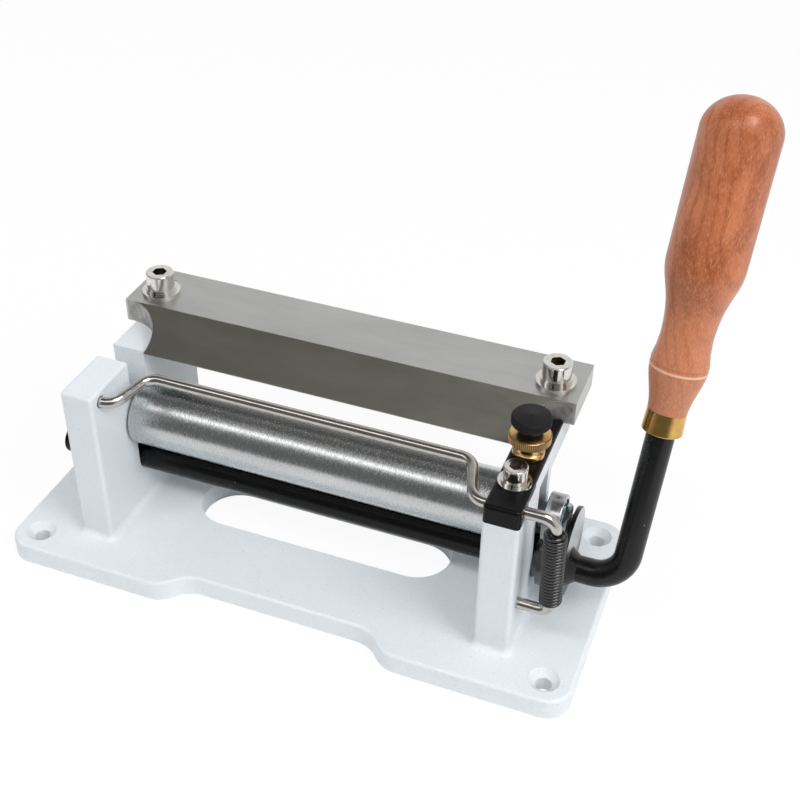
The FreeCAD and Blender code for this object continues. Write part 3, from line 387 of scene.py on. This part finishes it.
# The blade
# A bar of hardened tool steel, ground flat on all sides, then bevelled to its edge on a wheel, which
# leaves a darker face. A round cutter took the corners away, so that their walls are rougher.


def ground_steel():
    """Grey ground faces with fine lines along the bar.

    Masks pick out the bevel, a plane through the edge and the land, the walls of the two round cuts, which
    are cylinders, and the underside, which is painted dark grey as shade.
    """
    edge_y, edge_z, land_y, land_z = 0.0030, 0.08935, 0.0256, 0.1002
    cutter_x, cutter_y, cutter_r = 0.106025, 0.0070, 0.0186
    top_dark, top_light = (0.47, 0.475, 0.46), (0.56, 0.565, 0.55)
    bevel_dark, bevel_light = (0.26, 0.255, 0.215), (0.37, 0.36, 0.31)
    cut_dark, cut_light = (0.33, 0.33, 0.32), (0.60, 0.60, 0.585)
    # The underside's dark grey is painted shade
    line_grey, line_share, underside_shade_grey = (0.22, 0.22, 0.21), 0.10, (0.17, 0.17, 0.16)
    bevel_skin, wall_skin, edge_slack, wall_roughness, wall_relief = 0.00006, 0.0001, 0.0003, 0.6, 4.0
    material, tree, shader = finish("ground_blade", top_dark, metallic=1.0, roughness=0.36)
    at = place_coords(tree)
    x, y, z = node(tree, "ShaderNodeSeparateXYZ", {0: at}).outputs
    slope = (land_z - edge_z) / (land_y - edge_y)
    plane = math_node(tree, "MULTIPLY_ADD", y, slope, edge_z - slope * edge_y)
    off = math_node(tree, "ABSOLUTE", math_node(tree, "SUBTRACT", z, plane))
    near = math_node(tree, "LESS_THAN", off, bevel_skin)
    ahead = math_node(tree, "LESS_THAN", y, land_y + edge_slack)
    bevel = math_node(tree, "MULTIPLY", near, ahead)
    from_axis = distance(tree, math_node(tree, "ABSOLUTE", x), y, (cutter_x, cutter_y))
    from_wall = math_node(tree, "ABSOLUTE", math_node(tree, "SUBTRACT", from_axis, cutter_r))
    wall = math_node(tree, "LESS_THAN", from_wall, wall_skin)
    below = math_node(tree, "LESS_THAN", z, edge_z - edge_slack)
    lines = mottled(tree, at, scale=2600.0, stretch=(0.02, 1.0, 1.0))
    cloud = mottled(tree, at, scale=60.0, stretch=(0.35, 1.0, 1.0))
    grit = mottled(tree, at, scale=420.0, stretch=(1.0, 1.0, 0.7), sharp=1.3)
    top = blend_colour(tree, cloud, top_dark, top_light)
    low = blend_colour(tree, cloud, bevel_dark, bevel_light)
    both = blend_colour(tree, bevel, top, low)
    faces = blend_colour(tree, math_node(tree, "MULTIPLY", lines, line_share), both, line_grey)
    # Painted shade on the underside
    under = blend_colour(tree, below, faces, underside_shade_grey)
    cut = blend_colour(tree, grit, cut_dark, cut_light)
    tree.links.new(blend_colour(tree, wall, under, cut), shader.inputs["Base Color"])
    rough_wall = math_node(tree, "MULTIPLY", wall, wall_roughness)
    rough = math_node(tree, "MAXIMUM", ramp(tree, lines, to=(0.28, 0.42)), rough_wall)
    tree.links.new(rough, shader.inputs["Roughness"])
    deep = math_node(tree, "MULTIPLY", math_node(tree, "MULTIPLY", grit, wall), wall_relief)
    relief(tree, shader, math_node(tree, "ADD", lines, deep), depth=0.000010, strength=0.6)
    return material


dress(ground_steel(), "splitting_blade")

# The feed roller
# A steel tube, ground true between centres, which leaves short fine strokes round it that sparkle. A
# ball bearing is pressed into each end, and it turns freely on its axle.


def satin_roller():
    """Silky steel: short fine strokes round the roller tilt and roughen it, over a faint cloudiness."""
    grey, pale = (0.53, 0.54, 0.545), (0.63, 0.64, 0.64)
    stroke_grey, stroke_share = (0.38, 0.385, 0.385), 0.18
    material, tree, shader = finish("satin_roller", pale, metallic=1.0, roughness=0.22)
    at = place_coords(tree)
    grain = mottled(tree, at, scale=2500.0, stretch=(1.0, 0.26, 0.26), sharp=1.5)
    broad = mottled(tree, at, scale=110.0, stretch=(0.3, 1.0, 1.0))
    clouded = blend_colour(tree, broad, grey, pale)
    stroke = math_node(tree, "MULTIPLY", grain, stroke_share)
    tree.links.new(blend_colour(tree, stroke, clouded, stroke_grey), shader.inputs["Base Color"])
    tree.links.new(ramp(tree, grain, to=(0.15, 0.36)), shader.inputs["Roughness"])
    relief(tree, shader, grain, depth=0.000020, strength=0.9)
    return material


dress(satin_roller(), "feed_roller")

# The axle and what it carries
# A plain steel axle lies in two blackened blocks that slide in the slots. Outside each upright come a
# spacer, a shielded ball bearing that runs on the cam, and a thin zinc nut.


def brushed_round(name, colour, dark, roughness, scale=2200.0, depth=0.000014):
    """Satin steel with marks round the X axis: the noise is much finer along the axis than round it."""
    mark_share, broad_share = 0.55, 0.45
    material, tree, shader = finish(name, colour, metallic=1.0, roughness=roughness)
    at = place_coords(tree)
    marks = mottled(tree, at, scale=scale, stretch=(1.0, 0.06, 0.06))
    broad = mottled(tree, at, scale=180.0, stretch=(1.0, 0.2, 0.2))
    tone = math_node(tree, "MULTIPLY_ADD", marks, mark_share, math_node(tree, "MULTIPLY", broad, broad_share))
    tree.links.new(blend_colour(tree, tone, dark, colour), shader.inputs["Base Color"])
    tree.links.new(ramp(tree, marks, to=(roughness * 0.75, roughness * 1.35)), shader.inputs["Roughness"])
    relief(tree, shader, marks, depth=depth, strength=0.7)
    return material


dark_steel = brushed_round("blackened_steel", (0.16, 0.165, 0.17), dark=(0.09, 0.09, 0.095), roughness=0.34)
ring_steel = brushed_round("bearing_steel", (0.50, 0.505, 0.505), dark=(0.30, 0.305, 0.305), roughness=0.19,
                           scale=3000.0, depth=0.000006)
zinc = plated_steel("zinc_plating", (0.26, 0.33, 0.335), roughness=0.15, tint=(0.045, 0.08, 0.085))
dress(dark_steel, "left_axle_block", "right_axle_block", "roller_axle", "axle_spacers")
dress(ring_steel, "roller_inner_rings", "roller_outer_rings", "follower_inner_rings")
dress(zinc, "axle_nuts")

axle_y, axle_z = -0.0025, 0.0600
follower_from, follower_to = 0.1075, 0.1145


def turned(name, profile, centre, axis, steps=96, ridges=0, ridge_depth=0.0):
    """Surface of revolution: profile rows are (along, radius, ridge share), carried round the axis.

    The radius of a row falls by the ridge depth, times the row's share, in each valley of the ridges.
    """
    profile = np.asarray(profile, dtype=float)
    axis = np.asarray(axis, dtype=float) / np.linalg.norm(axis)
    helper = np.array([0.0, 0.0, 1.0]) if abs(axis[2]) < 0.9 else np.array([1.0, 0.0, 0.0])
    side = np.cross(helper, axis)
    side /= np.linalg.norm(side)
    other = np.cross(axis, side)
    angle = np.linspace(0.0, 2 * np.pi, steps, endpoint=False)
    valley = (0.5 - 0.5 * np.cos(ridges * angle)) if ridges else np.zeros(steps)
    radius = profile[:, 1, None] - ridge_depth * profile[:, 2, None] * valley[None, :]
    spokes = side[None, :] * np.cos(angle)[:, None] + other[None, :] * np.sin(angle)[:, None]
    along = np.asarray(centre, dtype=float) + profile[:, 0, None, None] * axis
    return surface_mesh(name, along + radius[..., None] * spokes[None], closed=True)


def rounded_rows(corners, radius, steps=3):
    """Rows of a turned profile with each inner corner cut by a small arc.

    Corners are (along, radius, share), and an arc is a quadratic curve from one side of its corner to the
    other. It takes less than half of each side, so that two arcs on a side don't meet.
    """
    keep_apart = 2.2
    corners = np.asarray(corners, dtype=float)
    rows = [corners[0]]
    for before, corner, after in zip(corners[:-2], corners[1:-1], corners[2:]):
        back = before[:2] - corner[:2]
        ahead = after[:2] - corner[:2]
        reach = min(radius, np.linalg.norm(back) / keep_apart, np.linalg.norm(ahead) / keep_apart)
        start = corner[:2] + back / np.linalg.norm(back) * reach
        end = corner[:2] + ahead / np.linalg.norm(ahead) * reach
        for share in np.linspace(0.0, 1.0, steps + 1):
            point = (1 - share) ** 2 * start + 2 * share * (1 - share) * corner[:2] + share ** 2 * end
            rows.append(np.array([point[0], point[1], corner[2]]))
    rows.append(corners[-1])
    return rows


def follower_profile():
    """Outline of a shielded bearing's outer ring: rounded rim, stepped faces, shields with a groove."""
    width = follower_to - follower_from
    rim, shield_out, shield_in, rounding = 0.0110, 0.00915, 0.0063, 0.00035
    half = [(0.00090, shield_in, 0), (0.00090, 0.0070, 0), (0.00055, 0.0073, 0), (0.00050, 0.0084, 0),
            (0.00085, 0.0087, 0), (0.00085, shield_out, 0), (0.0, shield_out, 0), (0.0, rim, 0)]
    back = [(width - along, radius, share) for along, radius, share in half[::-1]]
    inner = [(width - 0.0011, shield_in, 0), (0.0011, shield_in, 0)]
    return rounded_rows(half + back + inner + half[:1], rounding)


for side_name, start, along in (("left", -follower_from, (-1, 0, 0)), ("right", follower_from, (1, 0, 0))):
    ring_name = side_name + "_follower_ring"
    ring = place(ring_name, turned(ring_name, follower_profile(), (start, axle_y, axle_z), along), ring_steel)
    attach(ring, side_name + "_follower")
    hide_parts(side_name + "_cam_follower")

# The lever shaft with its cams and hub
# A black bar across the machine, stepped down to a journal at each end. A spiral cam is pinned to
# each journal, and a turned steel disc on the right one carries the lever rod.

black_bar = black_finish("black_bar", (0.003, 0.003, 0.003), roughness=0.26, dust=0.14, gloss_level=0.22)
dress(black_bar, "cam_shaft")
dress(dark_steel, "left_lift_cam", "right_lift_cam", "cam_pins", "shaft_clip")


def turned_hub():
    """Light turned face with oily smudges; the rim is black, and below the rod the face is painted in shade
    that goes nearly black.
    """
    hub_y, hub_z, rim_from, rim_to = 0.00225, 0.0388, 0.0199, 0.0202
    # Painted shade: the hub's face goes towards black below the rod, between these heights
    shade_below_from, shade_below_to, shade_below_share = 0.036, 0.031, 0.85
    bright, oily, oily_share = (0.62, 0.63, 0.63), (0.26, 0.26, 0.26), 0.5
    mark_grey, mark_share, black = (0.35, 0.36, 0.36), 0.35, (0.02, 0.02, 0.02)
    material, tree, shader = finish("turned_hub", bright, metallic=1.0, roughness=0.30)
    at = place_coords(tree)
    y, z = node(tree, "ShaderNodeSeparateXYZ", {0: at}).outputs[1:]
    rim = ramp(tree, distance(tree, y, z, (hub_y, hub_z)), (rim_from, rim_to))
    # Mask of the painted shade below the rod
    under = ramp(tree, z, (shade_below_from, shade_below_to), (0.0, shade_below_share))
    smudge = mottled(tree, at, scale=130.0, sharp=1.4)
    marks = mottled(tree, at, scale=1800.0, stretch=(1.0, 0.5, 0.5))
    face = blend_colour(tree, math_node(tree, "MULTIPLY", smudge, oily_share), bright, oily)
    fine = blend_colour(tree, math_node(tree, "MULTIPLY", marks, mark_share), face, mark_grey)
    # Black for the rim, and painted shade below the rod
    dark = math_node(tree, "MAXIMUM", rim, under)
    tree.links.new(blend_colour(tree, dark, fine, black), shader.inputs["Base Color"])
    tree.links.new(ramp(tree, marks, to=(0.24, 0.38)), shader.inputs["Roughness"])
    relief(tree, shader, marks, depth=0.00001, strength=0.6)
    return material


dress(turned_hub(), "lever_hub")

# The lever rod, ferrule and wooden grip
# A bent round bar, gloss black, welded to the hub. The grip is turned from one piece of reddish
# hardwood, varnished, with a cut line round its bead and a brass cup round its lower end.

black_rod = black_finish("black_rod", (0.003, 0.003, 0.003), roughness=0.26, dust=0.14, gloss_level=0.38)
dress(black_rod, "lever_rod")
grip_splay, grip_lean = math.radians(3.03), math.radians(15)
grip_axis = Vector((math.tan(grip_splay), math.tan(grip_lean), 1.0)).normalized()
rod_corner = Vector((0.1430, -0.0025, 0.0346))
to_grip = grip_axis.rotation_difference(Vector((0, 0, 1)))


def grip_coords(tree):
    """Object coordinates turned and moved so that Z runs along the grip's axis, from the rod's corner."""
    at = place_coords(tree)
    moved = node(tree, "ShaderNodeVectorMath", {0: at, 1: tuple(rod_corner)}, operation="SUBTRACT").outputs[0]
    return node(tree, "ShaderNodeMapping", {"Vector": moved, "Rotation": to_grip.to_euler()}).outputs[0]


def varnished_wood():
    """Reddish wood: growth rings cut at a slant, brown and pink patches, pale fibres along the grip, varnish.

    The rings are waves of the distance from a line that leans away from the grip's axis. The cut line and the
    thin lower neck are paler.
    """
    ring_lean, ring_centre, ring_rate, ring_warp = 0.17, 0.062, 1250.0, (0.034, 0.034, 0.0)
    brown, pink, ring_brown = (0.27, 0.058, 0.015), (0.54, 0.176, 0.078), (0.20, 0.042, 0.013)
    streak_pink, streak_share = (0.50, 0.17, 0.070), 0.22
    fleck_pink, fleck_share, pore_brown, pore_share = (0.68, 0.34, 0.19), 0.46, (0.20, 0.050, 0.020), 0.42
    neck_pink, neck_share, neck_top, neck_foot = (0.56, 0.25, 0.145), 0.48, 0.150, 0.094
    cut_cream, cut_height, cut_core, cut_edge = (0.80, 0.52, 0.40), 0.10075, 0.0003, 0.0007
    ring_from, ring_share, break_low, fleck_from, pore_to, cut_share = 0.25, 0.62, 0.35, 0.45, 0.24, 0.8
    material, tree, shader = finish("varnished_wood", pink, metallic=0.0, roughness=0.34, Coat_Weight=0.35,
                                    Coat_Roughness=0.22, Specular_IOR_Level=0.2)
    at = grip_coords(tree)
    height_of = node(tree, "ShaderNodeSeparateXYZ", {0: at}).outputs[2]
    warp = node(tree, "ShaderNodeTexNoise", {"Vector": at, "Scale": 15.0, "Detail": 3.0}).outputs["Color"]
    bent = node(tree, "ShaderNodeVectorMath", {0: warp, 1: ring_warp}, operation="MULTIPLY").outputs[0]
    at_bent = node(tree, "ShaderNodeVectorMath", {0: at, 1: bent}, operation="ADD").outputs[0]
    x, y, z = node(tree, "ShaderNodeSeparateXYZ", {0: at_bent}).outputs
    leaning = math_node(tree, "MULTIPLY_ADD", z, ring_lean, x)
    turns = math_node(tree, "MULTIPLY", distance(tree, leaning, y, (ring_centre, 0.0)), ring_rate)
    rings = math_node(tree, "SINE", turns)
    streaks = mottled(tree, at_bent, scale=500.0, stretch=(1.0, 1.0, 0.06))
    patches = mottled(tree, at, scale=34.0, stretch=(1.0, 1.0, 0.6), sharp=2.0)
    fibres = mottled(tree, at, scale=2100.0, stretch=(1.0, 1.0, 0.25), sharp=1.2)
    line = ramp(tree, rings, (ring_from, 1.0), (0.0, ring_share))
    broken = math_node(tree, "MULTIPLY", line, ramp(tree, streaks, to=(break_low, 1.0)))
    neck = ramp(tree, height_of, (neck_top, neck_foot), (0.0, neck_share))
    fleck = ramp(tree, fibres, (fleck_from, 1.0), (0.0, fleck_share))
    pore = ramp(tree, fibres, (0.0, pore_to), (pore_share, 0.0))
    from_cut = math_node(tree, "ABSOLUTE", math_node(tree, "SUBTRACT", height_of, cut_height))
    cut = ramp(tree, from_cut, (cut_core, cut_edge), (cut_share, 0.0))
    colour = blend_colour(tree, patches, brown, pink)
    layers = ((broken, ring_brown), (math_node(tree, "MULTIPLY", streaks, streak_share), streak_pink),
              (neck, neck_pink), (fleck, fleck_pink), (pore, pore_brown), (cut, cut_cream))
    for mask, tone in layers:
        colour = blend_colour(tree, mask, colour, tone)
    tree.links.new(colour, shader.inputs["Base Color"])
    tree.links.new(ramp(tree, fibres, to=(0.32, 0.50)), shader.inputs["Roughness"])
    relief(tree, shader, fibres, depth=0.00004, strength=0.6)
    return material


dress(varnished_wood(), "handle_grip")


def satin_brass(name, colour, dark, roughness, valley=None):
    """Yellow brass, a little tarnished, with fine cloudy tone.

    A valley is (x, y, radius): painted shade darkens the grooves of a knurl of that radius round that axis,
    and the knurl loses some of its metal shine.
    """
    # Painted shade for the knurl's grooves, and how deep below the ridge tops it starts and is full
    shade_colour, shade_share, knurl_depth, shade_from, shade_to = (0.07, 0.036, 0.012), 0.9, 0.00046, 0.00008, 0.00026
    shine_loss = 0.5
    material, tree, shader = finish(name, colour, metallic=1.0, roughness=roughness)
    at = place_coords(tree)
    fine = mottled(tree, at, scale=1600.0, stretch=(1.0, 1.0, 0.3))
    toned = blend_colour(tree, mottled(tree, at, scale=220.0), dark, colour)
    if valley:
        axis_x, axis_y, ridge_r = valley
        x, y = node(tree, "ShaderNodeSeparateXYZ", {0: at}).outputs[:2]
        radius = distance(tree, x, y, (axis_x, axis_y))
        knurl = math_node(tree, "GREATER_THAN", radius, ridge_r - knurl_depth)
        # Painted shade in the grooves below the ridge tops
        depth = ramp(tree, radius, (ridge_r - shade_from, ridge_r - shade_to), (0.0, shade_share))
        toned = blend_colour(tree, math_node(tree, "MULTIPLY", knurl, depth), toned, shade_colour)
        tree.links.new(math_node(tree, "MULTIPLY_ADD", knurl, -shine_loss, 1.0), shader.inputs["Metallic"])
    tree.links.new(toned, shader.inputs["Base Color"])
    tree.links.new(ramp(tree, fine, to=(roughness * 0.75, roughness * 1.3)), shader.inputs["Roughness"])
    relief(tree, shader, fine, depth=0.000004, strength=0.5)
    return material


ferrule_brass = satin_brass("ferrule_brass", (0.76, 0.48, 0.155), dark=(0.60, 0.34, 0.095), roughness=0.20)
dress(ferrule_brass, "handle_ferrule")

# The depth screw with its knob and lock nut
# An M8 x 1 screw through the plate stops the right axle block. Its black knob has a straight fine
# knurl, and the brass lock nut under it has a foot, a neck and a coarser knurled ring.

depth_x = 0.096625
plate_top = 0.0910


def screw_thread(name, radius, depth, pitch, low, high, steps_round=48, steps_pitch=8):
    """Threaded rod: the radius is a triangle wave of height over pitch minus the turn, a single start."""
    angle = np.linspace(0.0, 2 * np.pi, steps_round, endpoint=False)
    z = np.arange(low, high, pitch / steps_pitch)
    phase = (z[:, None] / pitch - angle[None, :] / (2 * np.pi)) % 1.0
    r = radius - depth * np.abs(2 * phase - 1)
    points = np.stack([depth_x + r * np.cos(angle), axle_y + r * np.sin(angle), z[:, None] + 0 * r], axis=-1)
    bottom, top = (np.tile((depth_x, axle_y, height), (1, steps_round, 1)) for height in (z[0], z[-1]))
    return surface_mesh(name, np.concatenate([bottom, points, top]), closed=True)


thread_mesh = screw_thread("depth_screw_thread", radius=0.0040, depth=0.0006, pitch=0.0010,
                           low=0.0801, high=0.1068)
threaded = place("depth_screw_thread", thread_mesh, dark_steel)
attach(threaded, "depth_screw")
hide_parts("adjusting_screw")

knob_low, knob_r, knob_height, knob_crown = 0.10685, 0.0084, 0.0042, 0.0007
chamfer_in, chamfer_up, edge_rounding = 0.0006, 0.0005, 0.0002
knob_corners = [(0.0, 0.0, 0), (0.0, knob_r - chamfer_in, 0), (chamfer_up, knob_r, 1),
                (knob_height - chamfer_up, knob_r, 1), (knob_height, knob_r - chamfer_in, 0),
                (knob_height + knob_crown, 0.0, 0)]
knob_black = black_finish("knob_black", (0.0075, 0.0075, 0.0073), roughness=0.42, dust=0.12, gloss_level=0.18)
knob_mesh = turned("depth_knob_head", rounded_rows(knob_corners, edge_rounding), (depth_x, axle_y, knob_low),
                   (0, 0, 1), steps=288, ridges=72, ridge_depth=0.00022)
knob = place("depth_knob_head", knob_mesh, knob_black)
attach(knob, "depth_knob")
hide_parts("adjusting_knob")

nut_bore_r, nut_foot_r, nut_neck_r, nut_ring_r, nut_height = 0.00405, 0.00685, 0.0059, 0.0090, 0.0125
nut_corners = [(0.0, nut_bore_r, 0), (0.0, 0.0066, 0), (0.0003, nut_foot_r, 0), (0.0028, nut_foot_r, 0),
               (0.0032, 0.0063, 0), (0.0035, nut_neck_r, 0), (0.0066, nut_neck_r, 0), (0.0071, 0.0066, 0),
               (0.0072, 0.0085, 0.4), (0.0076, nut_ring_r, 1), (0.0108, nut_ring_r, 1), (0.0112, 0.0085, 0.2),
               (nut_height, 0.0050, 0), (nut_height, nut_bore_r, 0), (0.0, nut_bore_r, 0)]
# The valley paints shade into the grooves of the ring's knurl
knurl_brass = satin_brass("knurl_brass", (0.74, 0.50, 0.22), dark=(0.50, 0.31, 0.12), roughness=0.22,
                          valley=(depth_x, axle_y, nut_ring_r))
nut_mesh = turned("lock_nut_body", rounded_rows(nut_corners, edge_rounding), (depth_x, axle_y, plate_top),
                  (0, 0, 1), steps=408, ridges=68, ridge_depth=0.00042)
lock = place("lock_nut_body", nut_mesh, knurl_brass)
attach(lock, "depth_lock")
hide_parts("lock_nut")

# The wire guard with its spring and anchor pin
# Drawn stainless wire, bent cold. A close coil of oiled spring steel grips the wire's turned-down end
# and the pin below it, and its bending pulls the guard down on the leather.


def drawn_wire():
    """Warm grey stainless wire with faint drawing lines along it."""
    dark, pale = (0.46, 0.44, 0.41), (0.58, 0.56, 0.53)
    material, tree, shader = finish("drawn_wire", pale, metallic=1.0, roughness=0.24)
    at = place_coords(tree)
    lines = mottled(tree, at, scale=2400.0, stretch=(0.03, 1.0, 1.0))
    tone = mottled(tree, at, scale=260.0)
    tree.links.new(blend_colour(tree, tone, dark, pale), shader.inputs["Base Color"])
    tree.links.new(ramp(tree, lines, to=(0.14, 0.24)), shader.inputs["Roughness"])
    relief(tree, shader, lines, depth=0.00001, strength=0.5)
    return material


dress(drawn_wire(), "guard_wire", "spring_anchor_pin")

spring_foot = np.array([0.1186, -0.0315, 0.0394])
spring_head = np.array([0.1177, -0.0330, 0.0802])
coil_r, coil_grip_r, coil_wire_r = 0.00425, 0.00334, 0.00064
coil_turns, coil_taper = 22, 0.4


def spring_coil(name, sides=12, steps_per_turn=36):
    """Tube along a helix whose radius draws in by a half cosine over part of a turn at both ends."""
    turn = np.linspace(0.0, coil_turns, coil_turns * steps_per_turn + 1)
    from_end = np.minimum(np.minimum(turn, coil_turns - turn) / coil_taper, 1.0)
    radius = coil_grip_r + (coil_r - coil_grip_r) * (1 - np.cos(np.pi * from_end)) / 2
    low, high = spring_foot + (0, 0, coil_wire_r), spring_head - (0, 0, coil_wire_r)
    angle = 2 * np.pi * turn
    spokes = np.stack([np.cos(angle), np.sin(angle), 0 * angle], axis=-1)
    line = low + (high - low) * (turn / coil_turns)[:, None] + radius[:, None] * spokes
    along = np.gradient(line, axis=0)
    along /= np.linalg.norm(along, axis=1, keepdims=True)
    side = np.cross(along, np.array([0.0, 0.0, 1.0]))
    side /= np.linalg.norm(side, axis=1, keepdims=True)
    up = np.cross(side, along)
    around = np.linspace(0.0, 2 * np.pi, sides, endpoint=False)
    ring = side[:, None] * np.cos(around)[None, :, None] + up[:, None] * np.sin(around)[None, :, None]
    points = line[:, None] + coil_wire_r * ring
    start = np.repeat(line[:1, None], sides, axis=1)
    end = np.repeat(line[-1:, None], sides, axis=1)
    return surface_mesh(name, np.concatenate([start, points, end]), closed=True)


oiled_spring = black_finish("oiled_spring", (0.006, 0.006, 0.0058), roughness=0.17, dust=0.0, gloss_level=1.0)
coil = place("guard_spring_coil", spring_coil("guard_spring_coil"), oiled_spring)
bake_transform(coil)
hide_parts("guard_spring")
